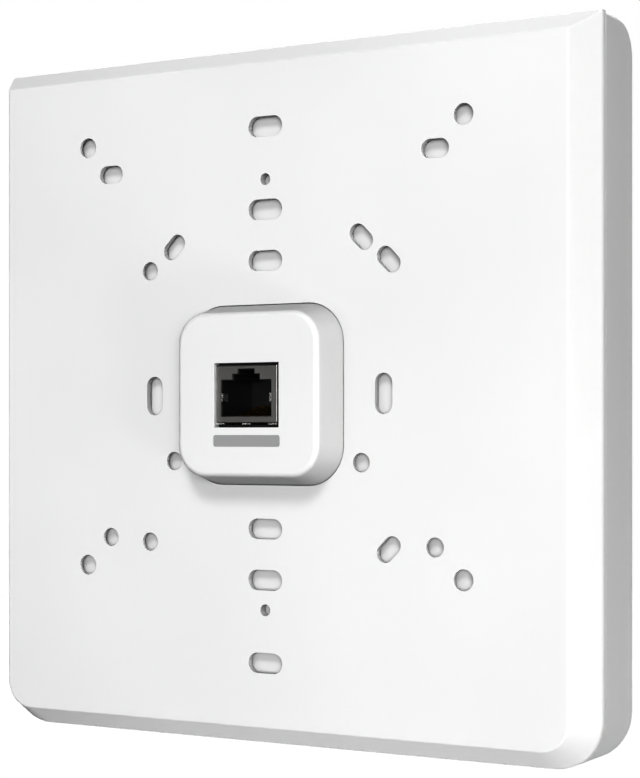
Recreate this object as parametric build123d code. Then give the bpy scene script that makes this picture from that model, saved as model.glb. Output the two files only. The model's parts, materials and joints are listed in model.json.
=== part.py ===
from build123d import *
import os

# A square wireless access point that hangs on a wall or ceiling box. Millimetres.
# X is to the right seen from the room, Z is up, and the wall is the plane Y = 0.
# A depth is measured from that plane into the room, so depth d is Y = -d.
# The connector boss enters the wall box and has negative depths.

# Outer casing
BACK_WIDTH = 146.6
BACK_HEIGHT = 149.8
BACK_CORNER = 6.5
BEVEL_WIDTH = 4.6
BEVEL_DEPTH = 7.8
CASE_DEPTH = 25.0
COVER_WALL = 2.2
TOP_EDGE_RADIUS = 7.6
FRONT_EDGE_RADIUS = 0.8

# Mounting plate, a shallow tray that the unit drops into
PLATE_WALL = 2.2
PLATE_LAND = 1.2
PLATE_EDGE_RADIUS = 1.6
BACK_EDGE_RADIUS = 0.5
TRAY_SIDE_INSET = 2.28
COUNTERSINK = 1.4
CUT = 1.0  # how far a cut runs on past the face that it opens

# Sprung clips on the plate and the blades on the unit that they grip
CLIP_BASE = (3.2, 7.0)
CLIP_SHEET = 0.5
CLIP_LEG = 1.35
CLIP_LIP = (1.75, 1.3)
CLIP_TOP = 8.0
PEG_RADIUS = 1.0
PEG_HEAD = (2.0, 3.2)
PEG_HEAD_THICK = 0.6
BLADE_THICK = 2.0
BLADE_BACK = 3.9
POCKET = (9.0, 14.0)
POCKET_WALL = 1.6
POCKET_END = 9.0

# Rear housing
PLATE_GAP = 0.4
PARTING_GAP = 0.3
HOUSING_WALL = 2.0
HOUSING_SIDE_INSET = 3.05
SKIRT_INSET = COVER_WALL + 0.2
SKIRT_END = 11.0

# Connector boss
BOSS_HEIGHT = 8.0
BOSS_HALF = 20.15
BOSS_FACE_HALF = 18.15
BOSS_CORNER = 8.8
BOSS_EDGE_RADIUS = 1.2
BOSS_WALL = 2.0
BOSS_GAP = 0.15
PORT_WIDTH = 16.8
PORT_HEIGHT = 14.3
PORT_Z = -0.2
LABEL_WIDTH = 17.3
LABEL_HEIGHT = 2.5
LABEL_Z = -10.35
LABEL_THICK = 0.3
LABEL_CORNER = 0.5
LABEL_FIT = 0.03

# Main board
BOARD_WIDTH = 114.0
BOARD_HEIGHT = 118.0
BOARD_BACK = 9.2
BOARD_THICK = 1.6
BOARD_FRONT = BOARD_BACK + BOARD_THICK

# Antenna reflector
REFLECTOR_BACK = 14.2
REFLECTOR_THICK = 0.8
REFLECTOR_FRONT = REFLECTOR_BACK + REFLECTOR_THICK
REFLECTOR_SIZE = 116.0
ANTENNA_TOP = 21.5

# Derived sizes of the casing
SLOPE = BEVEL_WIDTH / BEVEL_DEPTH
CASE_WIDTH = BACK_WIDTH + 2 * BEVEL_WIDTH
CASE_HEIGHT = BACK_HEIGHT + 2 * BEVEL_WIDTH
CASE_BOTTOM = -CASE_HEIGHT / 2
CASE_CORNER = BACK_CORNER + BEVEL_WIDTH
PLATE_END = BEVEL_DEPTH + PLATE_LAND
COVER_START = PLATE_END + PARTING_GAP
COVER_INNER = CASE_DEPTH - COVER_WALL
HOUSING_BACK = PLATE_WALL + PLATE_GAP
HOUSING_INNER = HOUSING_BACK + HOUSING_WALL

# Screw patterns in the mounting plate, as x and z of each hole
COLUMN_SLOT_Z = (30.15, 41.65, 60.3)
COLUMN_SLOT = (8.85, 4.55)
PILOT_Z = 48.4
PILOT_RADIUS = 1.3
SIDE_SLOT_X = 30.15
SIDE_SLOT = (8.9, 4.3)
SQUARE_CENTRE_Z = 9.6
LARGE_SQUARE = 98.8
LARGE_RADIUS = 2.3
MIDDLE_SQUARE = 85.3
SMALL_SQUARE = 49.3
OCTAGON_SQUARE = 62.86
OCTAGON_CENTRE_Z = -2.4
HOLE_RADIUS = 2.1
SHORT_SLOT = (6.6, 4.1)
ANGLED_SLOT = (6.5, 4.1)

# Places shared by several pieces
CLIP_PLACES = [(65.0, 36.0), (-65.0, 36.0), (65.0, -36.0), (-65.0, -36.0)]
CASE_SCREWS = [(s * 66.8, z) for s in (1, -1) for z in (66.0, 8.0, -62.0)]
SPACER_PLACES = [(51.0, 54.0), (-51.0, 54.0), (51.0, -54.0), (-51.0, -54.0)]
BOARD_SCREWS = [(51.0, 4.0), (-51.0, 4.0)]
SINK_SCREWS = [(40.0, 45.0), (-40.0, 45.0), (40.0, -45.0), (-40.0, -45.0)]

# Screws: a pilot hole takes a thread, and a clearance hole lets it pass
PILOT_HOLE = 1.05
SCREW_SHANK = 1.0
CLEARANCE_HOLE = 1.25
POST_RADIUS = 3.0
CASE_SCREW_HOLE = 1.4
CASE_SCREW_HEAD = 2.5
CASE_SCREW_SINK = 1.5
CASE_SCREW_TIP = 12.0
BOARD_SCREW_TIP = 5.7
REFLECTOR_SCREW_TIP = 11.6
PAN_HEAD = (2.2, 1.5)
DRIVE_SLOT = 0.6

# Lock in the bottom edge
LOCK_X = -22.0
LOCK_DEPTH = 14.5
LOCK_ARM = 6.5
LOCK_LEVEL = -70.6
LOCK_PLATE = 2.0
LOCK_HEAD_RADIUS = 4.5
LOCK_BODY_RADIUS = 3.0
LOCK_HEAD_SINK = 1.1
CATCH_DEPTH = 16.3
CATCH_REACH = 7.9

# Reset button in the bottom edge
RESET_X = 28.0
RESET_DEPTH = 13.2
RESET_TRAVEL = 0.8
RESET_TIP_RADIUS = 1.2
RESET_STEM_RADIUS = 1.1
SWITCH_TIP = -63.1
SWITCH_Z = -57.2
RESET_GUIDE_Z = -67.0

# Status light behind the front face
LED_Z = -52.0
LIGHT_PIPE_RADIUS = 1.2

# Network port
JACK_X = 0.36
JACK_Z = 0.1
JACK_FACE = -7.2
JACK_WIDTH = 15.9
JACK_HEIGHT = 12.8
JACK_SHEET = 0.3
JACK_EDGE = 0.26
JACK_BOTTOM = JACK_Z - JACK_HEIGHT / 2
CAVITY_X = 0.52
CAVITY_WIDTH = 12.8
CAVITY_BOTTOM = -4.75
CAVITY_TOP = 3.1
CAVITY_END = 5.6
LATCH_WIDTHS = (6.8, 4.0)
LATCH_LEVELS = (4.4, 5.5)
CONTACT_PITCH = 1.02
CONTACT_WIRE = 0.35
CONTACT_RISE = 2.2
SHELL_LIP = 0.2
TAB_Z = -0.7
TAB_HEIGHT = 1.9
TAB_END = -4.6
LOWER_TAB_PITCH = 6.8
LOWER_TAB_WIDTH = 2.2

# Heatsink and the chips under it
SINK_BACK = HOUSING_INNER + 0.3
SINK_THICK = 1.5
SINK_FRONT = SINK_BACK + SINK_THICK
SINK_SIZE = (94.0, 102.0)
SINK_WINDOW = (20.0, 18.0)
SINK_SLOT = (56.0, 4.0)
SINK_SLOT_Z = 43.0
PEDESTAL_HEIGHT = 0.7
PROCESSOR = (-24.0, 20.0, 17.0)
PROCESSOR_HEIGHT = 1.6
MEMORY_PLACES = [(-37.0, 35.4), (-25.0, 35.4)]
MEMORY_SIZE = (8.0, 12.0, 1.0)
FLASH_PLACE = (-38.0, 14.0)
FLASH_SIZE = (6.0, 8.0, 1.0)
NETWORK_CHIP = (3.0, 36.0, 9.0, 9.0, 0.9)
RADIO_CHIP = (11.0, 11.0, 0.9)
AMPLIFIER = (3.4, 3.4, 0.8)
AMPLIFIER_PITCH = 5.2
SHIELDS = {
    "main": (26.0, 24.0, 28.0, 26.0),
    "left": (-28.0, -26.0, 24.0, 22.0),
    "right": (26.0, -26.0, 24.0, 22.0),
}
SHIELD_HEIGHT = 2.0
SHIELD_WALL = 0.3
SHIELD_SHEET = 0.25

# Places of the parts on the board's room side
TRANSFORMER = (9.5, -22.0)
MAGNETICS = (0.0, 16.0)
MAGNETICS_PIN_PITCH = 1.5
INDUCTORS = [(x, z) for x in (-6.0, -14.0) for z in (-14.0, -22.0)]
INDUCTOR_SIDE = 6.6
INDUCTOR_HEIGHT = 4.5
CAPACITORS = [(22.6, -14.0), (22.6, -24.0), (-22.3, -18.0)]
CAN_BASE = 8.3
CAN_RADIUS = 4.0
CAN_HEIGHT = 9.5
RECTIFIERS = [(x, -37.0) for x in (-13.0, -5.0, 3.0, 11.0)]
CERAMIC_PART = (2.0, 1.2, 0.9)

# Antennas: x, z and turn of each
ANTENNAS = [(41.0, 41.0, 45), (-41.0, 41.0, 135), (-41.0, -41.0, 225), (41.0, -41.0, 315)]
ANTENNA_SIZE = (26.0, 9.0)
ANTENNA_SHEET = 0.3
ANTENNA_LEGS = (-9.0, -3.0)
CARRIER_WALL = 1.2
SCAN_ANTENNA_Z = 44.0

# Coaxial leads: each runs above the reflector, drops through its opening and ends at a plug
LEAD_RADIUS = 0.57
LEAD_BEND = 2.5
LEAD_HIGH = REFLECTOR_FRONT + 0.65
LEAD_LOW = BOARD_FRONT + 1.35
LEADS = [
    [(31.0, 38.3), (27.9, 39.9), (24.5, 35.0), (23.0, 28.5), (22.4, 22.5), (21.0, 17.0), (20.5, 11.5)],
    [(-38.3, 31.0), (-39.9, 27.9), (-35.4, 24.0), (-30.2, 21.6), (-25.2, 18.6), (-22.4, 14.0), (-21.0, 8.8)],
    [(-31.0, -38.3), (-27.9, -39.9), (-25.2, -36.2), (-23.4, -31.0), (-18.6, -28.4), (-13.2, -29.2)],
    [(38.3, -31.0), (39.6, -27.6), (34.8, -25.4), (29.4, -29.8), (24.6, -30.8), (20.2, -31.2), (18.8, -36.4)],
]


def at_depth(depth):
    """A sketch plane parallel to the wall, at this depth."""
    return Plane.XZ.offset(depth)


def slab(sketch, start, end):
    """A sketch in x and z, pulled from one depth to another."""
    return extrude(at_depth(start) * sketch, amount=end - start)


def block(x, z, width, height, start, end):
    """A rectangular block between two depths."""
    return slab(Pos(x, z) * Rectangle(width, height), start, end)


def soft_block(x, z, width, height, corner, start, end):
    """A block with rounded upright corners between two depths."""
    return slab(Pos(x, z) * RectangleRounded(width, height, corner), start, end)


def rod(x, z, radius, start, end):
    """A round bar along the depth."""
    return slab(Pos(x, z) * Circle(radius), start, end)


def upright(x, depth, radius, low, high):
    """A round bar along Z, from one height to another."""
    bar = Cylinder(radius, high - low)
    return Pos(x, -depth, (low + high) / 2) * bar


def cone(x, z, start_radius, end_radius, start, end):
    """A cone along the depth."""
    rings = [at_depth(start) * (Pos(x, z) * Circle(start_radius))]
    rings.append(at_depth(end) * (Pos(x, z) * Circle(end_radius)))
    return loft(rings)


def outline(width, height, corner):
    """A rectangle with square top corners and rounded bottom corners."""
    shape = Rectangle(width, height)
    return fillet(shape.vertices().sort_by(Axis.Y)[:2], corner)


def bevel_outline(depth, inset):
    """The bevelled body's outline at a depth, drawn in by an inset."""
    grow = SLOPE * depth - inset
    return outline(BACK_WIDTH + 2 * grow, BACK_HEIGHT + 2 * grow, BACK_CORNER + grow)


def bevel_solid(start, end, inset):
    """The bevelled body between two depths, drawn in by an inset."""
    rings = [at_depth(depth) * bevel_outline(depth, inset) for depth in (start, end)]
    return loft(rings, ruled=True)


def case_slab(inset, start, end):
    """The straight-sided part of the body, drawn in by an inset."""
    shape = outline(CASE_WIDTH - 2 * inset, CASE_HEIGHT - 2 * inset, CASE_CORNER - inset)
    return slab(shape, start, end)


def group(pieces):
    """Separate solids kept together in one file."""
    return Compound(children=[solid for piece in pieces for solid in piece.solids()])


def save(name, shape):
    """Write one sub-part."""
    export_step(shape, "parts/" + name + ".step")


def countersunk_hole(x, z, radius):
    """A round hole through the plate, widened on the room side for a flat screw head."""
    hole = rod(x, z, radius, -CUT, PLATE_WALL + CUT)
    seat = PLATE_WALL - COUNTERSINK
    return hole + cone(x, z, radius, radius + COUNTERSINK, seat, PLATE_WALL)


def countersunk_slot(x, z, size, turn):
    """A slot through the plate, turned in its plane and widened on the room side."""
    length, width = size
    place = Pos(x, z) * Rot(0, 0, turn)
    hole = slab(place * SlotOverall(length, width), -CUT, PLATE_WALL + CUT)
    step = COUNTERSINK / 2
    wide = slab(place * SlotOverall(length + step, width + step), PLATE_WALL - step, PLATE_WALL + CUT)
    return hole + wide


def plate_holes():
    """Every screw hole in the mounting plate."""
    cuts = []
    for side in (1, -1):
        for z in COLUMN_SLOT_Z:
            cuts.append(countersunk_slot(0, side * z, COLUMN_SLOT, 0))
        cuts.append(rod(0, side * PILOT_Z, PILOT_RADIUS, -CUT, PLATE_WALL + CUT))
        cuts.append(countersunk_slot(side * SIDE_SLOT_X, 0, SIDE_SLOT, 90))
        for level in (1, -1):
            x, z = side * LARGE_SQUARE / 2, SQUARE_CENTRE_Z + level * LARGE_SQUARE / 2
            cuts.append(countersunk_hole(x, z, LARGE_RADIUS))
        x, z = side * MIDDLE_SQUARE / 2, MIDDLE_SQUARE / 2
        cuts.append(countersunk_slot(x, SQUARE_CENTRE_Z + z, SHORT_SLOT, 0))
        cuts.append(countersunk_hole(x, SQUARE_CENTRE_Z - z, HOLE_RADIUS))
        x, z = side * SMALL_SQUARE / 2, SMALL_SQUARE / 2
        cuts.append(countersunk_slot(x, SQUARE_CENTRE_Z + z, ANGLED_SLOT, -side * 45))
        cuts.append(countersunk_hole(x, SQUARE_CENTRE_Z - z, HOLE_RADIUS))
        x, z = OCTAGON_SQUARE / 2, side * OCTAGON_SQUARE / 2
        cuts.append(countersunk_slot(-x, OCTAGON_CENTRE_Z + z, ANGLED_SLOT, side * 45))
        cuts.append(countersunk_hole(x, OCTAGON_CENTRE_Z + z, HOLE_RADIUS))
    return cuts


def catch_hook():
    """The hook on the plate that the lock's arm turns behind."""
    end = CATCH_DEPTH + LOCK_PLATE
    stem = block(LOCK_X + CATCH_REACH + 2.6, LOCK_LEVEL, 3, LOCK_PLATE, PLATE_WALL - 0.5, end)
    return stem + block(LOCK_X + CATCH_REACH, LOCK_LEVEL, 8.2, LOCK_PLATE, CATCH_DEPTH, end)


def make_mounting_plate():
    """The tray that is screwed to the wall and covers the whole back."""
    body = bevel_solid(0, BEVEL_DEPTH, 0) + case_slab(0, BEVEL_DEPTH, PLATE_END)
    rims = body.edges().filter_by_position(Axis.Y, -BEVEL_DEPTH - 0.01, -BEVEL_DEPTH + 0.01)
    body = fillet(rims, PLATE_EDGE_RADIUS)
    back = body.faces().sort_by(Axis.Y)[-1]
    body = fillet(back.edges(), BACK_EDGE_RADIUS)
    body -= bevel_solid(PLATE_WALL, PLATE_END + 0.1, TRAY_SIDE_INSET)
    opening = 2 * (BOSS_HALF + BOSS_GAP)
    body -= soft_block(0, 0, opening, opening, BOSS_CORNER + BOSS_GAP, -CUT, PLATE_WALL + CUT)
    for cut in plate_holes():
        body -= cut
    body += catch_hook()
    for x, z in CLIP_PLACES:
        head = PLATE_WALL + CLIP_SHEET
        body += rod(x, z, PEG_RADIUS, PLATE_WALL - 0.5, head)
        body += block(x, z, *PEG_HEAD, head, head + PEG_HEAD_THICK)
    return body


def make_clip(x, z):
    """A sprung steel clip staked to the plate, which grips a blade on the unit."""
    length = CLIP_BASE[1]
    clip = block(x, z, *CLIP_BASE, PLATE_WALL, PLATE_WALL + CLIP_SHEET)
    clip -= rod(x, z, PEG_RADIUS + 0.05, 0, CLIP_TOP)
    lip_place, lip_width = CLIP_LIP
    for side in (1, -1):
        clip += block(x + side * CLIP_LEG, z, CLIP_SHEET, length, PLATE_WALL, CLIP_TOP)
        clip += block(x + side * lip_place, z, lip_width, length, CLIP_TOP - CLIP_SHEET, CLIP_TOP)
    return clip


def boss_square(half):
    """The boss's outline, whose corners tighten with its size."""
    return RectangleRounded(2 * half, 2 * half, BOSS_CORNER - (BOSS_HALF - half))


def make_boss():
    """The hollow boss that carries the network port into the wall box."""
    outer = loft([at_depth(0) * boss_square(BOSS_HALF), at_depth(-BOSS_HEIGHT) * boss_square(BOSS_FACE_HALF)])
    face = outer.faces().sort_by(Axis.Y)[-1]
    outer = fillet(face.edges(), BOSS_EDGE_RADIUS)
    outer += slab(boss_square(BOSS_HALF), 0, HOUSING_INNER)
    return outer


def boss_hollow():
    """The room inside the boss, its port opening and the recess for its label."""
    inner_face = BOSS_WALL - BOSS_HEIGHT
    rings = [at_depth(HOUSING_INNER + 0.1) * boss_square(BOSS_HALF - BOSS_WALL)]
    rings.append(at_depth(inner_face) * boss_square(BOSS_FACE_HALF - BOSS_WALL))
    hollow = loft(rings)
    hollow += block(0, PORT_Z, PORT_WIDTH, PORT_HEIGHT, -BOSS_HEIGHT - CUT, inner_face + CUT)
    label = (0, LABEL_Z, LABEL_WIDTH, LABEL_HEIGHT, LABEL_CORNER)
    hollow += soft_block(*label, -BOSS_HEIGHT - CUT, LABEL_THICK - BOSS_HEIGHT)
    return hollow


def make_rear_housing():
    """The unit's rear shell, with the boss, clip pockets and board posts."""
    body = bevel_solid(HOUSING_BACK, PLATE_END, HOUSING_SIDE_INSET)
    body += case_slab(SKIRT_INSET, PLATE_END, SKIRT_END)
    side = HOUSING_SIDE_INSET + TRAY_SIDE_INSET
    body -= bevel_solid(HOUSING_INNER, PLATE_END, side)
    body -= case_slab(TRAY_SIDE_INSET + SKIRT_INSET, PLATE_END, SKIRT_END + CUT)
    body += make_boss()
    body -= boss_hollow()
    pocket_outside = [size + 2 * POCKET_WALL for size in POCKET]
    for x, z in CLIP_PLACES:
        body += block(x, z, *pocket_outside, HOUSING_INNER - CUT, POCKET_END + POCKET_WALL)
        body -= block(x, z, *POCKET, HOUSING_BACK - CUT, POCKET_END)
        body += block(x, z, BLADE_THICK, CLIP_BASE[1], BLADE_BACK, POCKET_END)
    for x, z in SPACER_PLACES + BOARD_SCREWS:
        body += rod(x, z, POST_RADIUS, HOUSING_INNER - 0.5, BOARD_BACK)
        body -= rod(x, z, PILOT_HOLE, HOUSING_INNER, BOARD_BACK + CUT)
    for x, z in CASE_SCREWS:
        body -= rod(x, z, CASE_SCREW_HOLE, 0, HOUSING_INNER + CUT)
        wide = CASE_SCREW_HEAD + 0.2
        body -= cone(x, z, wide, CASE_SCREW_HOLE, HOUSING_BACK, HOUSING_BACK + wide - CASE_SCREW_HOLE)
    body -= block(LOCK_X + CATCH_REACH, LOCK_LEVEL, 10, LOCK_PLATE + 1, 0, HOUSING_INNER + CUT)
    return body


def cover_block(inset, start, end, top_radius):
    """The cover's outline, straight-sided, with a rounded top front edge."""
    body = case_slab(inset, start, end)
    top_edges = body.edges().filter_by(Axis.X).sort_by(Axis.Z)[-2:]
    return fillet(top_edges.sort_by(Axis.Y)[0], top_radius)


def make_front_cover():
    """The room-side shell: four walls and a plain square face."""
    body = cover_block(0, COVER_START, CASE_DEPTH, TOP_EDGE_RADIUS)
    face = body.faces().sort_by(Axis.Y)[0]
    body = chamfer(face.edges().sort_by(Axis.Z)[:-1], FRONT_EDGE_RADIUS)
    body -= cover_block(COVER_WALL, COVER_START - CUT, COVER_INNER, TOP_EDGE_RADIUS - COVER_WALL)
    for x, z in CASE_SCREWS:
        body += rod(x, z, POST_RADIUS, HOUSING_INNER, COVER_INNER + 0.5)
        body -= rod(x, z, PILOT_HOLE, HOUSING_INNER, CASE_SCREW_TIP + 2)
    below = CASE_BOTTOM - CUT
    inside = CASE_BOTTOM + COVER_WALL + CUT
    body -= upright(LOCK_X, LOCK_DEPTH, LOCK_BODY_RADIUS + 0.05, below, inside)
    body -= upright(LOCK_X, LOCK_DEPTH, LOCK_HEAD_RADIUS + 0.1, below, CASE_BOTTOM + LOCK_HEAD_SINK)
    body -= upright(RESET_X, RESET_DEPTH, RESET_TIP_RADIUS + 0.3, below, inside)
    guide = block(RESET_X, RESET_GUIDE_Z, 6, 2, SKIRT_END + 0.3, COVER_INNER + 0.5)
    through = (RESET_GUIDE_Z - 2, RESET_GUIDE_Z + 2)
    body += guide - upright(RESET_X, RESET_DEPTH, RESET_STEM_RADIUS + 0.15, *through)
    body -= rod(0, LED_Z, LIGHT_PIPE_RADIUS + 0.05, COVER_INNER - CUT, CASE_DEPTH + CUT)
    return body


def make_case_screw(x, z):
    """A countersunk screw that joins the two shells from behind."""
    top = HOUSING_BACK + 0.1
    head = cone(x, z, CASE_SCREW_HEAD, SCREW_SHANK, top, top + CASE_SCREW_SINK)
    head -= block(x, z, 3.0, DRIVE_SLOT, 0, top + DRIVE_SLOT)
    head -= block(x, z, DRIVE_SLOT, 3.0, 0, top + DRIVE_SLOT)
    return head + rod(x, z, SCREW_SHANK, top + CASE_SCREW_SINK - 0.1, CASE_SCREW_TIP)


def make_pan_screw(x, z, seat, tip):
    """A pan-head screw seated on a face, with its tip nearer the wall."""
    radius, height = PAN_HEAD
    head = rod(x, z, radius, seat, seat + height)
    head -= block(x, z, 2.6, DRIVE_SLOT, seat + height / 2, seat + height + CUT)
    head -= block(x, z, DRIVE_SLOT, 2.6, seat + height / 2, seat + height + CUT)
    return head + rod(x, z, SCREW_SHANK, tip, seat)


def make_label():
    """The plain grey plate set into the boss below the port."""
    size = (LABEL_WIDTH - 2 * LABEL_FIT, LABEL_HEIGHT - 2 * LABEL_FIT, LABEL_CORNER - LABEL_FIT)
    return soft_block(0, LABEL_Z, *size, -BOSS_HEIGHT, LABEL_THICK - BOSS_HEIGHT)


def port_window(grow):
    """The port's opening with the stepped notch for a plug's latch, in x and z."""
    middle = (CAVITY_BOTTOM + CAVITY_TOP) / 2
    window = Pos(CAVITY_X, middle) * Rectangle(CAVITY_WIDTH + grow, CAVITY_TOP - CAVITY_BOTTOM + grow)
    for width, level in zip(LATCH_WIDTHS, LATCH_LEVELS):
        window += Pos(CAVITY_X, (middle + level) / 2) * Rectangle(width + grow, level - middle + grow)
    return window


def make_jack_shell():
    """The port's folded sheet-metal shell, open towards the board."""
    body = block(JACK_X, JACK_Z, JACK_WIDTH, JACK_HEIGHT, JACK_FACE, BOARD_BACK)
    face = body.faces().sort_by(Axis.Y)[-1]
    body = fillet(face.edges(), JACK_EDGE)
    inside = (JACK_WIDTH - 2 * JACK_SHEET, JACK_HEIGHT - 2 * JACK_SHEET)
    body -= block(JACK_X, JACK_Z, *inside, JACK_FACE + JACK_SHEET, BOARD_BACK + CUT)
    return body - slab(port_window(2 * SHELL_LIP), JACK_FACE - CUT, JACK_FACE + JACK_SHEET + CUT)


def make_jack_insert():
    """The port's black body, with the cavity for the plug and slits for its contacts and tabs."""
    face = JACK_FACE + JACK_SHEET
    inside = 2 * JACK_SHEET + 0.1
    body = block(JACK_X, JACK_Z, JACK_WIDTH - inside, JACK_HEIGHT - inside, face, BOARD_BACK)
    body -= slab(port_window(0), face - CUT, CAVITY_END)
    for side in (1, -1):
        wall = CAVITY_X + side * CAVITY_WIDTH / 2
        body -= block(wall, TAB_Z, 0.5, TAB_HEIGHT + 0.4, face - CUT, TAB_END + 0.2)
    return body - block(CAVITY_X, CAVITY_BOTTOM + 0.1, 9, 0.9, face + 2, CAVITY_END)


def make_contacts():
    """Eight sprung contacts that rise from the cavity's floor towards its end."""
    wires = []
    for number in range(8):
        x = CAVITY_X + (number - 3.5) * CONTACT_PITCH
        floor = (x, 4.4, CAVITY_BOTTOM)
        bend = (x, 3.5, CAVITY_BOTTOM + 0.1)
        tip = (x, -4.4, CAVITY_BOTTOM + CONTACT_RISE)
        spine = Polyline(floor, bend, tip)
        start = Plane(origin=spine @ 0, z_dir=spine % 0)
        wires.append(sweep(start * Rectangle(CONTACT_WIRE, CONTACT_WIRE), spine, transition=Transition.RIGHT))
    return group(wires)


def make_port_springs():
    """Two grounding tabs in the port's sides and three under its lower edge."""
    tabs = []
    front = JACK_FACE + 0.05
    wall = CAVITY_WIDTH / 2 + 0.15
    for side in (1, -1):
        points = [(wall, front), (wall, TAB_END), (wall - 0.15, TAB_END), (wall - 0.2, front + 0.8)]
        points += [(wall - 0.5, front + 0.45), (wall - 0.5, front)]
        corners = [(CAVITY_X + side * reach, -depth) for reach, depth in points]
        profile = make_face(Polyline(*corners, close=True))
        tabs.append(extrude(Plane.XY.offset(TAB_Z - TAB_HEIGHT / 2) * profile, amount=TAB_HEIGHT))
    for step in (-1, 0, 1):
        x = JACK_X + step * LOWER_TAB_PITCH
        tabs.append(block(x, JACK_BOTTOM - 0.25, LOWER_TAB_WIDTH, 0.34, JACK_FACE - 0.1, JACK_FACE + 4))
    return group(tabs)


def make_port_gasket():
    """The rubber frame between the port and the inside of the boss."""
    start = BOSS_WALL - BOSS_HEIGHT
    ring = soft_block(JACK_X, JACK_Z, 20.5, 18, 2, start, start + 1.5)
    tabs_room = 0.5
    window = (JACK_WIDTH + 0.1, JACK_HEIGHT + tabs_room)
    return ring - block(JACK_X, JACK_Z - tabs_room / 2, *window, start - CUT, start + 1.5 + CUT)


def make_main_board():
    """The green board that everything electrical is soldered to."""
    board = soft_block(0, 0, BOARD_WIDTH, BOARD_HEIGHT, 2, BOARD_BACK, BOARD_FRONT)
    for x, z in SPACER_PLACES + BOARD_SCREWS + SINK_SCREWS:
        board -= rod(x, z, CLEARANCE_HOLE, 0, CASE_DEPTH)
    for number in range(8):
        x = CAVITY_X + (number - 3.5) * CONTACT_PITCH
        board -= rod(x, -2.5 if number % 2 else -4.5, 0.4, 0, CASE_DEPTH)
    return board


def make_heatsink():
    """The aluminium plate behind the board, with pedestals down to the hot parts."""
    sink = soft_block(0, 0, *SINK_SIZE, 3, SINK_BACK, SINK_FRONT)
    sink -= soft_block(0, 0, *SINK_WINDOW, 1.5, 0, CASE_DEPTH)
    for z in (-SINK_SLOT_Z, SINK_SLOT_Z):
        sink -= soft_block(0, z, *SINK_SLOT, 1.9, 0, CASE_DEPTH)
    x, z, side = PROCESSOR
    sink += soft_block(x, z, side, side, 1, SINK_FRONT - 0.2, SINK_FRONT + PEDESTAL_HEIGHT)
    for x, z in SINK_SCREWS:
        sink += rod(x, z, POST_RADIUS - 0.4, SINK_FRONT - 0.2, BOARD_BACK)
        sink -= rod(x, z, PILOT_HOLE, SINK_BACK + 0.3, CASE_DEPTH)
    return sink


def chip(x, z, width, height, thick):
    """A moulded chip on the board's wall side, with a dimple at its first pin."""
    body = block(x, z, width, height, BOARD_BACK - thick, BOARD_BACK)
    mark = (x - width / 2 + 1.2, z + height / 2 - 1.2, 0.4)
    return body - rod(*mark, BOARD_BACK - thick - CUT, BOARD_BACK - thick + 0.1)


def make_shield_frame(x, z, width, height):
    """The soldered wall of a radio shield."""
    top = BOARD_BACK - SHIELD_HEIGHT + SHIELD_SHEET
    hollow = (width - 2 * SHIELD_WALL, height - 2 * SHIELD_WALL)
    return block(x, z, width, height, top, BOARD_BACK) - block(x, z, *hollow, 0, CASE_DEPTH)


def make_shield_lid(x, z, width, height):
    """The lid that clips over a radio shield's wall."""
    top = BOARD_BACK - SHIELD_HEIGHT
    lid = block(x, z, width + 0.7, height + 0.7, top, BOARD_BACK - 0.5)
    return lid - block(x, z, width + 0.1, height + 0.1, top + 0.2, CASE_DEPTH)


def make_thermal_pads():
    """Soft pads that fill the gaps between hot parts and the heatsink."""
    x, z, side = PROCESSOR
    top = SINK_FRONT + PEDESTAL_HEIGHT
    pads = [block(x, z, side - 1, side - 1, top, BOARD_BACK - PROCESSOR_HEIGHT)]
    for x, z, width, height in SHIELDS.values():
        pads.append(block(x, z, width - 6, height - 6, SINK_FRONT, BOARD_BACK - SHIELD_HEIGHT))
    return group(pads)


def make_memory_chips():
    """Two working-memory chips and a smaller one that stores the programs."""
    chips = [chip(x, z, *MEMORY_SIZE) for x, z in MEMORY_PLACES]
    return group(chips + [chip(*FLASH_PLACE, *FLASH_SIZE)])


def make_board_screws():
    """The screws that hold the board to its posts and the heatsink to the board."""
    places = BOARD_SCREWS + SINK_SCREWS
    return group([make_pan_screw(x, z, BOARD_FRONT, BOARD_SCREW_TIP) for x, z in places])


def make_reflector_screws():
    """The screws that hold the reflector to the spacers."""
    return group([make_pan_screw(x, z, REFLECTOR_FRONT, REFLECTOR_SCREW_TIP) for x, z in SPACER_PLACES])


def make_amplifiers():
    """The small radio amplifiers and switches inside the shields."""
    chips = []
    for x, z, width, height in SHIELDS.values():
        first = x - width / 2 + 4
        for step in range(4):
            chips.append(chip(first + step * AMPLIFIER_PITCH, z - height / 2 + 3, *AMPLIFIER))
    return group(chips)


def make_radio_chips():
    """One radio chip inside each shield."""
    return group([chip(x, z + 2.5, *RADIO_CHIP) for x, z, width, height in SHIELDS.values()])


def make_power_transformer():
    """The transformer that turns the cable's power into the board's, with its core and coil former."""
    x, z = TRANSFORMER
    low, high = BOARD_FRONT + 3.2, BOARD_FRONT + 8
    core = block(x, z, 16, 14, BOARD_FRONT + 1.2, high + 2)
    core -= block(x, z, 10, 16, low, high)
    core += block(x, z, 4.6, 14, low - 0.2, high + 0.2)
    low, high = low + 0.1, high - 0.1
    winding = block(x, z, 9.8, 17, low, high)
    winding -= block(x, z, 4.7, 20, low - CUT, high + CUT)
    for side in (1, -1):
        winding += block(x, z + side * 7.9, 9.8, 1.5, low, high)
        winding += block(x, z + side * 8.9, 12, 1, BOARD_FRONT, BOARD_FRONT + 6)
    return core, winding


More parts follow.
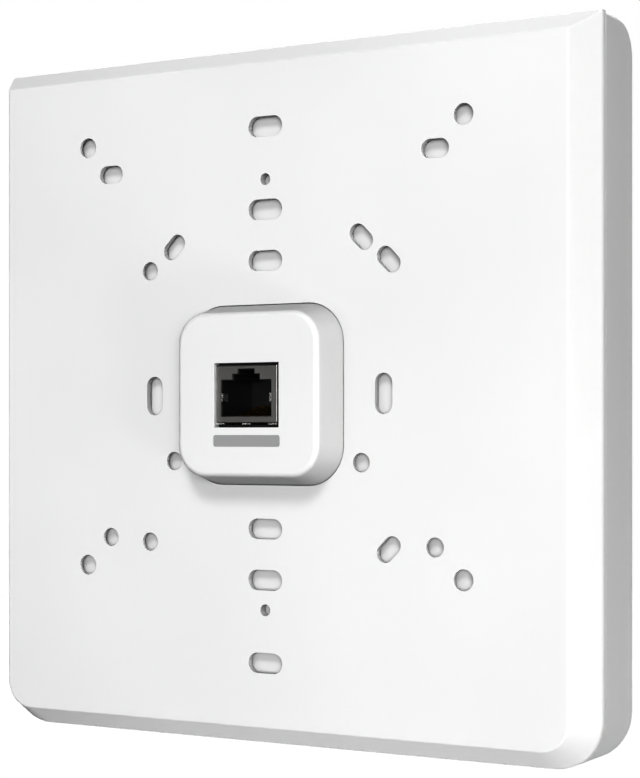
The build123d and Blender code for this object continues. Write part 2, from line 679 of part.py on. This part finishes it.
def make_magnetics():
    """The module that couples the network pairs to the board."""
    x, z = MAGNETICS
    body = soft_block(x, z, 15, 11, 0.6, BOARD_FRONT + 0.5, BOARD_FRONT + 5.5)
    for number in range(9):
        for side in (1, -1):
            pin = x + (number - 4) * MAGNETICS_PIN_PITCH
            body += block(pin, z + side * 6.2, 0.5, 1.6, BOARD_FRONT, BOARD_FRONT + 0.6)
    return body


def make_inductors():
    """Square moulded coils of the voltage converters."""
    size = (INDUCTOR_SIDE, INDUCTOR_SIDE, 1.2)
    top = BOARD_FRONT + INDUCTOR_HEIGHT
    return group([soft_block(x, z, *size, BOARD_FRONT, top) for x, z in INDUCTORS])


def make_bulk_capacitors():
    """Round can capacitors on square plastic bases."""
    cans = []
    for x, z in CAPACITORS:
        can = block(x, z, CAN_BASE, CAN_BASE, BOARD_FRONT, BOARD_FRONT + 1)
        can += rod(x, z, CAN_RADIUS, BOARD_FRONT + 0.9, BOARD_FRONT + CAN_HEIGHT)
        cans.append(can)
    return group(cans)


def make_small_parts():
    """Rows of small ceramic parts round the board's room side."""
    parts = []
    length, width, height = CERAMIC_PART
    for row, z in enumerate((30.0, 33.5, 44.0)):
        for step in range(11):
            x = -25 + step * 5 + row
            parts.append(block(x, z, length, width, BOARD_FRONT, BOARD_FRONT + height))
    for step in range(8):
        parts.append(block(34, -16 + step * 4, width, length, BOARD_FRONT, BOARD_FRONT + height))
    return group(parts)


def make_rectifiers():
    """Flat diode bridges and switches between the port and the transformer."""
    parts = []
    for x, z in RECTIFIERS:
        body = block(x, z, 5.2, 4.2, BOARD_FRONT, BOARD_FRONT + 2)
        body += block(x, z, 3.6, 6.2, BOARD_FRONT, BOARD_FRONT + 0.5)
        parts.append(body)
    return group(parts)


def make_spacer(x, z):
    """A hexagonal brass spacer whose thread holds the board to a post."""
    body = slab(Pos(x, z) * RegularPolygon(2.75, 6), BOARD_FRONT, REFLECTOR_BACK)
    body -= rod(x, z, PILOT_HOLE, BOARD_FRONT + 0.4, REFLECTOR_FRONT)
    return body + rod(x, z, SCREW_SHANK, BOARD_SCREW_TIP, BOARD_FRONT)


def make_reflector():
    """The aluminium sheet that the antennas stand on, open over the tall parts."""
    sheet = soft_block(0, 0, REFLECTOR_SIZE, REFLECTOR_SIZE, 8, REFLECTOR_BACK, REFLECTOR_FRONT)
    sheet -= soft_block(0, -4, 54, 58, 4, 0, CASE_DEPTH)
    sheet -= rod(0, LED_Z, 3, 0, CASE_DEPTH)
    sheet -= block(RESET_X, -56, 12, 12, 0, CASE_DEPTH)
    for x, z in SPACER_PLACES:
        sheet -= rod(x, z, CLEARANCE_HOLE, 0, CASE_DEPTH)
    return sheet


def place(shape, x, z, turn):
    """Turn a piece about the depth axis and move it to its place."""
    return Pos(x, 0, z) * Rot(0, -turn, 0) * shape


def make_carrier():
    """The plastic frame that holds one antenna off the reflector."""
    length, width = ANTENNA_SIZE
    top = ANTENNA_TOP - ANTENNA_SHEET
    walls = 2 * CARRIER_WALL
    frame = soft_block(0, 0, length, width, 1, REFLECTOR_FRONT, top)
    frame -= block(0, 0, length - walls, width - walls, 0, top - CARRIER_WALL)
    window_end = top - CARRIER_WALL - 0.3
    frame -= block(0, 0, length - 10, width + 2, REFLECTOR_FRONT + CARRIER_WALL, window_end)
    return frame - block(length / 2, 0, 3, width - 5, 0, window_end)


def make_antenna():
    """A stamped antenna: a slotted top plate with a feed leg and a ground leg."""
    length, width = ANTENNA_SIZE
    top = ANTENNA_TOP - ANTENNA_SHEET
    plate = block(0, 0, length, width, top, ANTENNA_TOP)
    plate -= block(2, 1.2, length - 4, 1.4, 0, CASE_DEPTH)
    plate -= block(-length / 2 + 5, -1.6, 1.4, 4.2, 0, CASE_DEPTH)
    edge = width / 2 + 0.2
    for x in ANTENNA_LEGS:
        plate += block(x, edge, 2.2, ANTENNA_SHEET, REFLECTOR_FRONT + 0.02, ANTENNA_TOP)
        plate += block(x, edge - 0.2, 2.2, 0.5, top, ANTENNA_TOP)
    return plate


def lead_points(route):
    """The corners of one lead in space."""
    depths = [LEAD_HIGH] * (len(route) - 2) + [LEAD_LOW] * 2
    return [Vector(x, -depth, z) for (x, z), depth in zip(route, depths)]


def make_lead(route):
    """A thin coaxial lead, straight runs joined by arcs."""
    path = FilletPolyline(*lead_points(route), radius=LEAD_BEND)
    start = Plane(origin=path @ 0, z_dir=path % 0)
    return sweep(start * Circle(LEAD_RADIUS), path)


def lead_plug_place(route):
    """Where a lead's plug sits, and how the plug is turned to face its lead."""
    before, end = lead_points(route)[-2:]
    step = (end - before).normalized()
    centre = end + step * 2.4
    turn = Vector(1, 0, 0).get_signed_angle(step, Vector(0, -1, 0))
    return centre.X, centre.Z, turn


def make_lead_plug(route):
    """The push-on plug at a lead's end."""
    body = rod(0, 0, 1.3, BOARD_FRONT + 0.7, BOARD_FRONT + 2.1)
    body += block(-1.6, 0, 1.6, 1.7, BOARD_FRONT + 0.7, BOARD_FRONT + 2.0)
    return place(body, *lead_plug_place(route))


def make_lead_socket(route):
    """The board socket under a lead's plug."""
    base = block(0, 0, 2.8, 2.8, BOARD_FRONT, BOARD_FRONT + 0.35)
    base += rod(0, 0, 1.0, BOARD_FRONT + 0.3, BOARD_FRONT + 0.7)
    return place(base, *lead_plug_place(route))


def make_scan_antenna():
    """A printed scanning antenna on its own small board, standing on the reflector."""
    card = block(0, SCAN_ANTENNA_Z, 24, 0.8, REFLECTOR_FRONT + 0.52, ANTENNA_TOP - 0.5)
    foot = soft_block(0, SCAN_ANTENNA_Z, 14, 5, 0.8, REFLECTOR_FRONT, REFLECTOR_FRONT + 2.5)
    return card, foot - block(0, SCAN_ANTENNA_Z, 24, 0.84, REFLECTOR_FRONT + 0.5, CASE_DEPTH)


def make_lock_barrel():
    """The lock's round body, with a slotted head in the cover's bottom wall."""
    head = upright(LOCK_X, LOCK_DEPTH, LOCK_HEAD_RADIUS, CASE_BOTTOM + 0.1, CASE_BOTTOM + 1.05)
    head -= Pos(LOCK_X, -LOCK_DEPTH, CASE_BOTTOM) * Box(1.2, 6.4, 1.4)
    arm_seat = LOCK_LEVEL - LOCK_PLATE / 2
    return head + upright(LOCK_X, LOCK_DEPTH, LOCK_BODY_RADIUS, CASE_BOTTOM + 0.9, arm_seat)


def make_lock_arm():
    """The flat arm on the barrel, which points at the wall when the lock is open."""
    plate = Plane.XY.offset(LOCK_LEVEL - LOCK_PLATE / 2)
    shape = Pos(LOCK_X, -LOCK_DEPTH) * Circle(LOCK_BODY_RADIUS - 0.1)
    shape += Pos(LOCK_X, -LOCK_DEPTH + LOCK_ARM / 2) * Rectangle(3.0, LOCK_ARM)
    arm = extrude(plate * shape, amount=LOCK_PLATE)
    through = (LOCK_LEVEL - LOCK_PLATE, LOCK_LEVEL + LOCK_PLATE)
    return arm - upright(LOCK_X, LOCK_DEPTH, SCREW_SHANK + 0.15, *through)


def make_lock_screw():
    """The screw that holds the arm on the barrel."""
    seat = LOCK_LEVEL + LOCK_PLATE / 2
    top = seat + 1.3
    head = upright(LOCK_X, LOCK_DEPTH, 2.0, seat, top)
    head -= Pos(LOCK_X, -LOCK_DEPTH, top) * Box(DRIVE_SLOT, 2.6, 2 * DRIVE_SLOT)
    head -= Pos(LOCK_X, -LOCK_DEPTH, top) * Box(2.6, DRIVE_SLOT, 2 * DRIVE_SLOT)
    return head + upright(LOCK_X, LOCK_DEPTH, SCREW_SHANK, seat - LOCK_PLATE, seat + 0.2)


def make_reset_button():
    """The long plunger from the bottom edge's hole to the switch on the board."""
    inside = CASE_BOTTOM + COVER_WALL
    tip = upright(RESET_X, RESET_DEPTH, RESET_TIP_RADIUS, CASE_BOTTOM + 0.5, inside + 0.3)
    collar = upright(RESET_X, RESET_DEPTH, 1.9, inside + 0.15, inside + 1.2)
    stem_end = SWITCH_TIP - RESET_TRAVEL - 0.05
    return tip + collar + upright(RESET_X, RESET_DEPTH, RESET_STEM_RADIUS, inside + 1, stem_end)


def make_reset_switch():
    """The side-facing switch at the board's lower edge that the plunger presses."""
    body = block(RESET_X, SWITCH_Z, 6, 3.6, BOARD_FRONT, BOARD_FRONT + 4.2)
    for side in (1, -1):
        body += block(RESET_X + side * 3.6, SWITCH_Z, 1.4, 2, BOARD_FRONT, BOARD_FRONT + 0.6)
    return body + upright(RESET_X, RESET_DEPTH, 0.9, SWITCH_TIP, SWITCH_Z - 1.6)


def make_light_pipe():
    """The clear pipe that carries the status light to the cover's face."""
    pipe = rod(0, LED_Z, LIGHT_PIPE_RADIUS, BOARD_FRONT + 1.6, CASE_DEPTH)
    return pipe + rod(0, LED_Z, LIGHT_PIPE_RADIUS + 1, COVER_INNER - 2, COVER_INNER)


def make_status_light():
    """The light-emitting diode under the pipe."""
    body = block(0, LED_Z, 3.2, 2.8, BOARD_FRONT, BOARD_FRONT + 0.9)
    return body + rod(0, LED_Z, 1.1, BOARD_FRONT + 0.8, BOARD_FRONT + 1.4)


save("mounting_plate", make_mounting_plate())
save("plate_clips", group([make_clip(x, z) for x, z in CLIP_PLACES]))
save("rear_housing", make_rear_housing())
save("front_cover", make_front_cover())
save("case_screws", group([make_case_screw(x, z) for x, z in CASE_SCREWS]))
save("label_plate", make_label())
save("jack_shell", make_jack_shell())
save("jack_insert", make_jack_insert())
save("jack_contacts", make_contacts())
save("port_springs", make_port_springs())
save("port_gasket", make_port_gasket())
save("main_board", make_main_board())
save("heatsink", make_heatsink())
save("thermal_pads", make_thermal_pads())
save("processor", chip(*PROCESSOR[:2], PROCESSOR[2], PROCESSOR[2], PROCESSOR_HEIGHT))
save("memory_chips", make_memory_chips())
save("network_chip", chip(*NETWORK_CHIP))
save("radio_chips", make_radio_chips())
save("amplifiers", make_amplifiers())
for name, shield in SHIELDS.items():
    save("shield_frame_" + name, make_shield_frame(*shield))
    save("shield_lid_" + name, make_shield_lid(*shield))
core, winding = make_power_transformer()
save("transformer_core", core)
save("transformer_coil", winding)
save("magnetics_module", make_magnetics())
save("inductors", make_inductors())
save("bulk_capacitors", make_bulk_capacitors())
save("small_parts", make_small_parts())
save("rectifiers", make_rectifiers())
save("spacers", group([make_spacer(x, z) for x, z in SPACER_PLACES]))
save("board_screws", make_board_screws())
save("reflector_screws", make_reflector_screws())
save("reflector", make_reflector())
for number, (x, z, turn) in enumerate(ANTENNAS, 1):
    save(f"antenna_carrier_{number}", place(make_carrier(), x, z, turn))
    save(f"antenna_{number}", place(make_antenna(), x, z, turn))
for number, route in enumerate(LEADS, 1):
    save(f"antenna_lead_{number}", make_lead(route))
save("lead_plugs", group([make_lead_plug(route) for route in LEADS]))
save("lead_sockets", group([make_lead_socket(route) for route in LEADS]))
card, foot = make_scan_antenna()
save("scan_antenna", card)
save("scan_antenna_foot", foot)
save("lock_barrel", make_lock_barrel())
save("lock_arm", make_lock_arm())
save("lock_screw", make_lock_screw())
save("reset_button", make_reset_button())
save("reset_switch", make_reset_switch())
save("light_pipe", make_light_pipe())
save("status_light", make_status_light())
for route in LEADS:
    points = lead_points(route)
    turns = [(b - a).get_angle(c - b) for a, b, c in zip(points, points[1:], points[2:])]
    print("lead bend radius", LEAD_BEND, "turns", [round(turn) for turn in turns])
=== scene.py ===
import bpy
import json
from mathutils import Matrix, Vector

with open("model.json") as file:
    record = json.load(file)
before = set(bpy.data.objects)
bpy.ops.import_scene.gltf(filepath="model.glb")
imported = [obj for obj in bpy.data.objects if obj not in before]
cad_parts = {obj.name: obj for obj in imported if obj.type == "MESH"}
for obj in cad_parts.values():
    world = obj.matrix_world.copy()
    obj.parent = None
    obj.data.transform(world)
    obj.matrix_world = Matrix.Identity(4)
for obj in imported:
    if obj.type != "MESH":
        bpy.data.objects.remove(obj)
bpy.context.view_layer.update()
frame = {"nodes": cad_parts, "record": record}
nodes = frame["nodes"]
scene = bpy.context.scene


# ---------------------------------------------------------------- look and camera

TONE_GAMMA = 0.625
CAMERA_PLACE = (-0.2310, 0.3724, -0.0088)
CAMERA_DIRECTION = (0.503, -0.8643, 0.0)
CAMERA_LENS = 90.28
CAMERA_SENSOR = 36.0
CAMERA_RISE = 0.0578
CAMERA_NEAR = 0.01

scene.view_settings.view_transform = "Standard"
scene.view_settings.gamma = TONE_GAMMA
scene.cycles.diffuse_bounces = 0


def aim(obj, target):
    """Turn a camera or light to look at a point."""
    direction = Vector(target) - obj.location
    obj.rotation_euler = direction.to_track_quat("-Z", "Y").to_euler()


def make_camera():
    """The view of the unit's back from its open side, level, with verticals kept upright."""
    data = bpy.data.cameras.new("camera")
    data.sensor_width = CAMERA_SENSOR
    data.lens = CAMERA_LENS
    data.shift_y = CAMERA_RISE
    data.clip_start = CAMERA_NEAR
    camera = bpy.data.objects.new("camera", data)
    scene.collection.objects.link(camera)
    camera.location = CAMERA_PLACE
    aim(camera, camera.location + Vector(CAMERA_DIRECTION))
    scene.camera = camera


make_camera()


# ---------------------------------------------------------------- material tools

SOFTEN_SAMPLES = 6


def new_material(name):
    """An empty node material with one principled shader."""
    material = bpy.data.materials.new(name)
    material.use_nodes = True
    shader = material.node_tree.nodes["Principled BSDF"]
    return material, material.node_tree, shader


def add_node(tree, kind, inputs=None, **settings):
    """A shader node with its settings and unlinked values."""
    node = tree.nodes.new(kind)
    for key, value in settings.items():
        setattr(node, key, value)
    for key, value in (inputs or {}).items():
        node.inputs[key].default_value = value
    return node


def object_space(tree, stretch=(1, 1, 1)):
    """Coordinates in metres in the row frame, stretched for grain with a direction."""
    place = add_node(tree, "ShaderNodeTexCoord")
    scale = add_node(tree, "ShaderNodeMapping", {"Scale": stretch})
    tree.links.new(place.outputs["Object"], scale.inputs["Vector"])
    return scale.outputs["Vector"]


def noise(tree, vector, scale, detail=3.0, rough=0.5):
    """A noise texture read in the given coordinates."""
    node = add_node(tree, "ShaderNodeTexNoise", {"Scale": scale, "Detail": detail, "Roughness": rough})
    tree.links.new(vector, node.inputs["Vector"])
    return node.outputs["Fac"]


def remap(tree, value, low, high):
    """Spread a value from 0..1 over another range."""
    node = add_node(tree, "ShaderNodeMapRange", {"To Min": low, "To Max": high})
    tree.links.new(value, node.inputs["Value"])
    return node.outputs["Result"]


def two_tone(tree, value, dark, light, start=0.0, end=1.0):
    """A colour that runs from dark to light as a value rises."""
    ramp = add_node(tree, "ShaderNodeValToRGB")
    ramp.color_ramp.elements[0].position = start
    ramp.color_ramp.elements[1].position = end
    ramp.color_ramp.elements[0].color = (*dark, 1)
    ramp.color_ramp.elements[1].color = (*light, 1)
    tree.links.new(value, ramp.inputs["Fac"])
    return ramp.outputs["Color"]


def add_bump(tree, shader, height, distance, soften=0.0):
    """Surface relief of a real height in metres, over edges softened by a radius."""
    bump = add_node(tree, "ShaderNodeBump", {"Distance": distance, "Strength": 1.0})
    tree.links.new(height, bump.inputs["Height"])
    if soften:
        bevel = add_node(tree, "ShaderNodeBevel", {"Radius": soften}, samples=SOFTEN_SAMPLES)
        tree.links.new(bevel.outputs["Normal"], bump.inputs["Normal"])
    tree.links.new(bump.outputs["Normal"], shader.inputs["Normal"])


def shade(colour, factor):
    """A colour made darker or lighter."""
    return tuple(min(1.0, part * factor) for part in colour)


# ---------------------------------------------------------------- materials

# Texture scales are per metre, reliefs and pitches are in metres, and a pad's radius is in cells.
FLOW_SCALE = 18.0
CLOUD_SCALE = 120.0
SPECK_SCALE = 2600.0
HAZE_SCALE = 900.0
TAPE_SCALE = 180.0
TRACK_SCALE = 260.0
PAD_SCALE = 330.0
PAD_RADIUS = 0.17
SPECK_RELIEF = 0.00004
TAPE_RELIEF = 0.00006
TRACK_RELIEF = 0.00003
METAL_LINE_PITCH = 0.0004
METAL_LINE_RELIEF = 0.000006
MASK_DARK = (0.012, 0.10, 0.045)
MASK_LIGHT = (0.02, 0.19, 0.085)
PAD_GOLD = (0.72, 0.5, 0.2, 1)
TAPE_DARK = (0.62, 0.38, 0.03)
TAPE_LIGHT = (0.86, 0.62, 0.07)
CLEAR_TINT = (0.93, 0.95, 0.97, 1)
CLEAR_TRANSMISSION = 0.85
CLEAR_IOR = 1.49
CERAMIC_ROUGHNESS = 0.7
BOARD_ROUGHNESS = 0.32
TAPE_ROUGHNESS = 0.3
WHITE = (0.83, 0.83, 0.83)


def moulded_plastic(name, colour, rough, pitch, relief, soften=0.0, mottle=0.02):
    """Injection-moulded plastic with a fine spark-eroded grain and faint flow marks."""
    material, tree, shader = new_material(name)
    space = object_space(tree)
    grain = noise(tree, space, 1.0 / pitch, detail=2.0, rough=0.6)
    flow = noise(tree, space, FLOW_SCALE, detail=2.0, rough=0.4)
    colours = two_tone(tree, flow, shade(colour, 1 - mottle), shade(colour, 1 + mottle), 0.3, 0.7)
    tree.links.new(colours, shader.inputs["Base Color"])
    tree.links.new(remap(tree, grain, rough - 0.06, rough + 0.06), shader.inputs["Roughness"])
    add_bump(tree, shader, grain, relief, soften=soften)
    return material


def worked_metal(name, colour, rough, stretch):
    """Metal with fine lines left by rolling, turning or plating."""
    material, tree, shader = new_material(name)
    shader.inputs["Metallic"].default_value = 1.0
    lines = noise(tree, object_space(tree, stretch), 1.0 / METAL_LINE_PITCH, detail=2.0, rough=0.7)
    cloud = noise(tree, object_space(tree), CLOUD_SCALE, detail=3.0)
    colours = two_tone(tree, cloud, shade(colour, 0.92), shade(colour, 1.06), 0.25, 0.75)
    tree.links.new(colours, shader.inputs["Base Color"])
    tree.links.new(remap(tree, lines, rough - 0.08, rough + 0.1), shader.inputs["Roughness"])
    add_bump(tree, shader, lines, METAL_LINE_RELIEF)
    return material


def circuit_board(name):
    """Solder mask over copper: darker gaps, brighter tracks and scattered bare pads."""
    material, tree, shader = new_material(name)
    space = object_space(tree, (1, 0, 1))
    tracks = add_node(
        tree, "ShaderNodeTexVoronoi", {"Scale": TRACK_SCALE}, feature="F1", distance="CHEBYCHEV")
    tree.links.new(space, tracks.inputs["Vector"])
    mask = two_tone(tree, tracks.outputs["Distance"], MASK_DARK, MASK_LIGHT, 0.35, 0.42)
    pads = add_node(tree, "ShaderNodeTexVoronoi", {"Scale": PAD_SCALE, "Randomness": 0.35})
    tree.links.new(space, pads.inputs["Vector"])
    is_pad = add_node(tree, "ShaderNodeMath", {1: PAD_RADIUS}, operation="LESS_THAN")
    tree.links.new(pads.outputs["Distance"], is_pad.inputs[0])
    mix = add_node(tree, "ShaderNodeMix", data_type="RGBA")
    mix.inputs["B"].default_value = PAD_GOLD
    tree.links.new(is_pad.outputs["Value"], mix.inputs["Factor"])
    tree.links.new(mask, mix.inputs["A"])
    tree.links.new(mix.outputs["Result"], shader.inputs["Base Color"])
    tree.links.new(is_pad.outputs["Value"], shader.inputs["Metallic"])
    shader.inputs["Roughness"].default_value = BOARD_ROUGHNESS
    add_bump(tree, shader, tracks.outputs["Distance"], TRACK_RELIEF)
    return material


def wound_tape(name):
    """Yellow tape wound round the transformer's coil, with its overlapping turns."""
    material, tree, shader = new_material(name)
    wave = add_node(tree, "ShaderNodeTexWave", {"Scale": TAPE_SCALE, "Distortion": 0.6}, bands_direction="Y")
    tree.links.new(object_space(tree), wave.inputs["Vector"])
    colours = two_tone(tree, wave.outputs["Fac"], TAPE_DARK, TAPE_LIGHT, 0.1, 0.6)
    tree.links.new(colours, shader.inputs["Base Color"])
    shader.inputs["Roughness"].default_value = TAPE_ROUGHNESS
    add_bump(tree, shader, wave.outputs["Fac"], TAPE_RELIEF)
    return material


def fired_ceramic(name, colour):
    """Sintered ferrite or ceramic: dark specks and a sandy break."""
    material, tree, shader = new_material(name)
    specks = noise(tree, object_space(tree), SPECK_SCALE, detail=4.0, rough=0.7)
    colours = two_tone(tree, specks, shade(colour, 0.7), shade(colour, 1.25), 0.35, 0.7)
    tree.links.new(colours, shader.inputs["Base Color"])
    shader.inputs["Roughness"].default_value = CERAMIC_ROUGHNESS
    add_bump(tree, shader, specks, SPECK_RELIEF)
    return material


def clear_acrylic(name):
    """The light pipe: clear, faintly hazy from its moulded surface."""
    material, tree, shader = new_material(name)
    haze = noise(tree, object_space(tree), HAZE_SCALE)
    shader.inputs["Base Color"].default_value = CLEAR_TINT
    shader.inputs["Transmission Weight"].default_value = CLEAR_TRANSMISSION
    shader.inputs["IOR"].default_value = CLEAR_IOR
    tree.links.new(remap(tree, haze, 0.12, 0.3), shader.inputs["Roughness"])
    return material


MATERIALS = {
    "plate_white": moulded_plastic("plate_white", WHITE, 0.46, 0.00045, 0.0000045, soften=0.00022),
    "housing_white": moulded_plastic("housing_white", WHITE, 0.44, 0.00045, 0.0000045, soften=0.0002),
    "cover_white": moulded_plastic("cover_white", WHITE, 0.42, 0.0004, 0.000004, soften=0.0002),
    "label_grey": moulded_plastic("label_grey", (0.43, 0.43, 0.435), 0.5, 0.0003, 0.000003),
    "port_black": moulded_plastic("port_black", (0.018, 0.018, 0.019), 0.42, 0.0002, 0.000004, mottle=0.1),
    "gasket_rubber": moulded_plastic("gasket_rubber", (0.02, 0.02, 0.02), 0.75, 0.0003, 0.00001),
    "pad_grey": moulded_plastic("pad_grey", (0.3, 0.36, 0.42), 0.8, 0.0006, 0.00002, mottle=0.1),
    "chip_black": moulded_plastic("chip_black", (0.03, 0.03, 0.033), 0.55, 0.00015, 0.000006, mottle=0.15),
    "module_black": moulded_plastic("module_black", (0.025, 0.025, 0.026), 0.4, 0.0002, 0.000005),
    "switch_black": moulded_plastic("switch_black", (0.03, 0.03, 0.03), 0.45, 0.0002, 0.000005),
    "carrier_plastic": moulded_plastic("carrier_plastic", (0.7, 0.7, 0.67), 0.5, 0.0004, 0.000006),
    "button_plastic": moulded_plastic("button_plastic", (0.7, 0.7, 0.7), 0.4, 0.0003, 0.000003),
    "lead_jacket": moulded_plastic("lead_jacket", (0.03, 0.03, 0.033), 0.3, 0.0005, 0.000004),
    "led_white": moulded_plastic("led_white", (0.85, 0.83, 0.62), 0.35, 0.0003, 0.000003),
    "port_nickel": worked_metal("port_nickel", (0.34, 0.335, 0.33), 0.42, (1, 1, 0.15)),
    "spring_steel": worked_metal("spring_steel", (0.78, 0.77, 0.75), 0.25, (1, 0.1, 1)),
    "screw_steel": worked_metal("screw_steel", (0.5, 0.5, 0.52), 0.35, (1, 0.3, 1)),
    "contact_gold": worked_metal("contact_gold", (0.83, 0.58, 0.2), 0.25, (1, 0.1, 1)),
    "plug_gold": worked_metal("plug_gold", (0.8, 0.6, 0.27), 0.28, (1, 0.2, 1)),
    "spacer_brass": worked_metal("spacer_brass", (0.74, 0.55, 0.24), 0.3, (0.3, 4, 0.3)),
    "heatsink_aluminium": worked_metal("heatsink_aluminium", (0.72, 0.73, 0.74), 0.42, (0.1, 1, 1)),
    "reflector_aluminium": worked_metal("reflector_aluminium", (0.8, 0.81, 0.82), 0.3, (0.08, 1, 1)),
    "antenna_metal": worked_metal("antenna_metal", (0.72, 0.69, 0.6), 0.3, (0.4, 1, 0.4)),
    "shield_tin": worked_metal("shield_tin", (0.74, 0.75, 0.76), 0.33, (1, 1, 0.1)),
    "capacitor_can": worked_metal("capacitor_can", (0.78, 0.78, 0.8), 0.25, (1, 0.1, 1)),
    "lock_metal": worked_metal("lock_metal", (0.62, 0.62, 0.64), 0.38, (1, 1, 0.3)),
    "board_green": circuit_board("board_green"),
    "coil_tape": wound_tape("coil_tape"),
    "ferrite": fired_ceramic("ferrite", (0.06, 0.06, 0.065)),
    "ceramic_tan": fired_ceramic("ceramic_tan", (0.36, 0.27, 0.18)),
    "light_clear": clear_acrylic("light_clear"),
}


def dress_nodes():
    """Give every CAD piece the material of its slot."""
    for part in frame["record"]["subparts"]:
        data = nodes[part["node"]].data
        data.materials.clear()
        data.materials.append(MATERIALS[part["material_slot"]])


dress_nodes()


# ---------------------------------------------------------------- stage and light

AMBIENT = 0.05
FLOOR_RADIUS = 14.0
FLOOR_HEIGHT = -1.2
FLOOR_SIDES = 96
FLOOR_ROUGHNESS = 0.9
FLOOR_TONE_SCALE = 2.0
FLOOR_DARK = (0.8, 0.8, 0.8)
FLOOR_LIGHT = (0.84, 0.84, 0.84)
CENTRE = (0.0, 0.0, 0.0)
LIGHTS = {  # place in metres, size in metres and power in watts
    "front": ((-0.95, 2.00, 0.08), (1.0, 0.84), 22.0),
    "front_side": ((-1.40, 2.00, 0.08), (1.0, 0.84), 18.0),
    "key": ((-0.50, 1.50, 1.20), (0.5, 0.5), 15.0),
    "side": ((-2.00, 0.90, 0.10), (0.8, 0.9), 1.0),
    "low_front": ((0.30, 2.00, -0.25), (1.8, 0.12), 6.5),
    "low_side": ((-0.55, 0.10, -0.25), (0.25, 0.1), 1.0),
    "top_edge": ((0.25, -0.80, 1.90), (1.4, 0.6), 19.0),
    "bottom_edge": ((0.0, -0.15, -0.30), (0.5, 0.12), 0.4),
    "room": ((0.90, -1.80, 0.50), (1.2, 1.2), 30.0),
}


def glow_for_camera(tree, strength_socket, unseen):
    """Full white where the camera looks straight at it, and dimmer as a light."""
    path = add_node(tree, "ShaderNodeLightPath")
    strength = add_node(tree, "ShaderNodeMapRange", {"To Min": unseen, "To Max": 1.0})
    tree.links.new(path.outputs["Is Camera Ray"], strength.inputs["Value"])
    tree.links.new(strength.outputs["Result"], strength_socket)


def make_stage():
    """A wide, plain, pale floor well below the unit."""
    place = (0, 0, FLOOR_HEIGHT)
    bpy.ops.mesh.primitive_circle_add(
        vertices=FLOOR_SIDES, radius=FLOOR_RADIUS, fill_type="NGON", location=place)
    floor = bpy.context.object
    floor.name = "floor"
    material, tree, shader = new_material("floor_paper")
    shader.inputs["Roughness"].default_value = FLOOR_ROUGHNESS
    tone = noise(tree, object_space(tree), FLOOR_TONE_SCALE)
    tree.links.new(two_tone(tree, tone, FLOOR_DARK, FLOOR_LIGHT), shader.inputs["Base Color"])
    shader.inputs["Emission Color"].default_value = (1, 1, 1, 1)
    glow_for_camera(tree, shader.inputs["Emission Strength"], 0.0)
    floor.data.materials.append(material)


def make_light(name, place, size, power):
    """A soft panel that lights the unit and isn't seen itself."""
    data = bpy.data.lights.new(name, "AREA")
    data.shape = "RECTANGLE"
    data.size, data.size_y = size
    data.energy = power
    light = bpy.data.objects.new(name, data)
    scene.collection.objects.link(light)
    light.location = place
    light.visible_camera = False
    aim(light, CENTRE)


def make_world():
    """Weak, even ambient light, seen as clean white behind the unit."""
    world = bpy.data.worlds.new("studio")
    scene.world = world
    world.use_nodes = True
    background = world.node_tree.nodes["Background"]
    background.inputs["Color"].default_value = (1, 1, 1, 1)
    glow_for_camera(world.node_tree, background.inputs["Strength"], AMBIENT)


make_stage()
make_world()
for name, (place, size, power) in LIGHTS.items():
    make_light(name, place, size, power)
